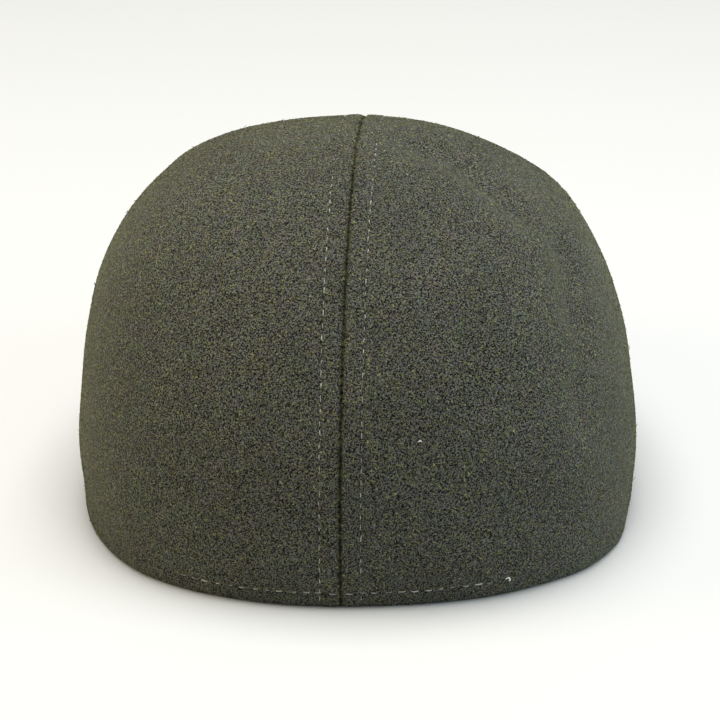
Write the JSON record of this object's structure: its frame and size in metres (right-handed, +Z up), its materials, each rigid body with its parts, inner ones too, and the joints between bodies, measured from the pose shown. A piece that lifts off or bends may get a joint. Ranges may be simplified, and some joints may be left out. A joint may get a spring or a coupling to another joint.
{
  "type": "scally cap",
  "caption": "Soft flat cap of dark olive wool melton with a seam over the middle of its crown and a short stiff peak under the front edge.",
  "frame": {"origin": "on the surface that the cap stands on, under the middle of its box", "axes": "+Z up, -Y the way the peak points, +X the wearer's left"},
  "size_m": [0.1874, 0.2564, 0.1255],
  "materials": {
    "wool_melton": "felted wool with a short nap, matt",
    "peak_cloth": "the same felted wool, drawn tight over a stiff board",
    "band_cloth": "plain twill tape, matt",
    "thread": "spun sewing thread"
  },
  "bodies": {
    "root": {"crown_left": "wool_melton", "crown_right": "wool_melton", "peak": "peak_cloth", "sweatband": "band_cloth"}
  },
  "joints": []
}
